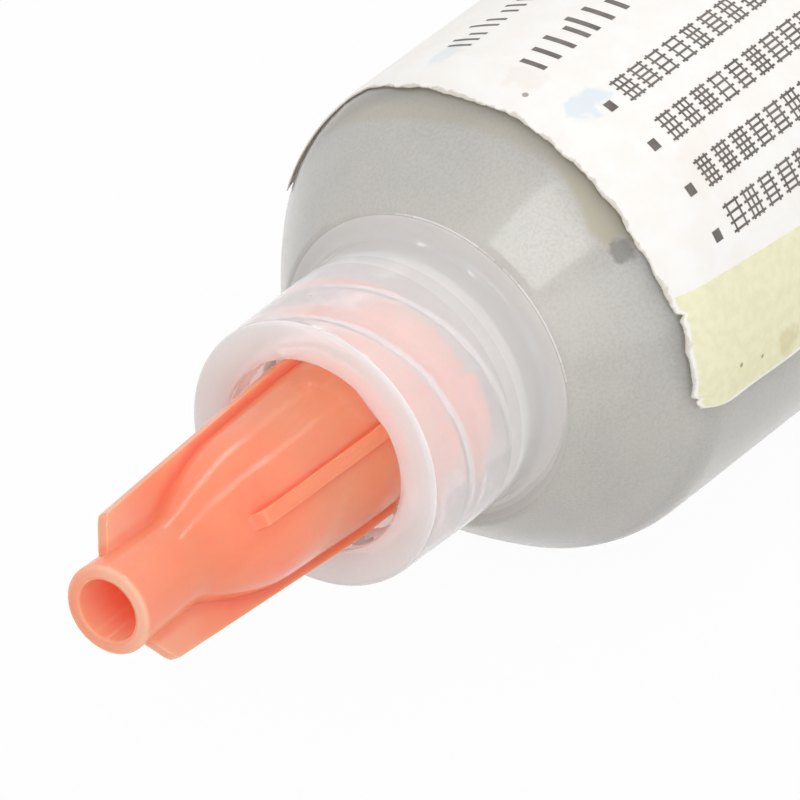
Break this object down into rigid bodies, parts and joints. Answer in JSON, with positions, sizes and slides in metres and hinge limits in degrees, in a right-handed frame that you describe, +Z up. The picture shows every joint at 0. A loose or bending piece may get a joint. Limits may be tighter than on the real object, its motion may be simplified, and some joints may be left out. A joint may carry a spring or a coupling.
{
  "type": "solder paste syringe",
  "caption": "Translucent dispensing barrel filled with grey solder paste, with a winged luer-lock tip cap, a paper label, a wiper piston and a plunger rod.",
  "frame": {"origin": "middle of the whole length, under the axis, on the plane that the finger flange's lower flat rests on", "axes": "X runs along the syringe with the tip towards -X, Y runs across through the flange's two ears, +Z is up from the bench"},
  "size_m": [0.1512, 0.0264, 0.0192],
  "materials": {
    "barrel_plastic": "milky translucent moulded polypropylene, semi-gloss",
    "paste": "grey paste of fine metal powder in flux, satin",
    "piston_plastic": "white moulded polyethylene, satin",
    "rod_plastic": "white moulded polypropylene, satin",
    "cap_plastic": "orange moulded polyethylene, slightly translucent, semi-gloss",
    "label_paper": "white printed paper with a worn edge, matt"
  },
  "bodies": {
    "barrel": {"barrel": "barrel_plastic", "label": "label_paper", "solder_paste": "paste"},
    "tip_cap": {"tip_cap": "cap_plastic"},
    "piston": {"piston": "piston_plastic"},
    "plunger_rod": {"plunger_rod": "rod_plastic"}
  },
  "joints": [
    {"name": "cap_pull", "type": "slide", "parent": "barrel", "child": "tip_cap", "axis": [-1, 0, 0], "range_m": [0, 0.03]},
    {"name": "piston_push", "type": "slide", "parent": "barrel", "child": "piston", "axis": [-1, 0, 0], "range_m": [0, 0.0445], "deforming": ["solder_paste"]},
    {"name": "rod_withdraw", "type": "slide", "parent": "piston", "child": "plunger_rod", "axis": [1, 0, 0], "range_m": [0, 0.075]}
  ]
}
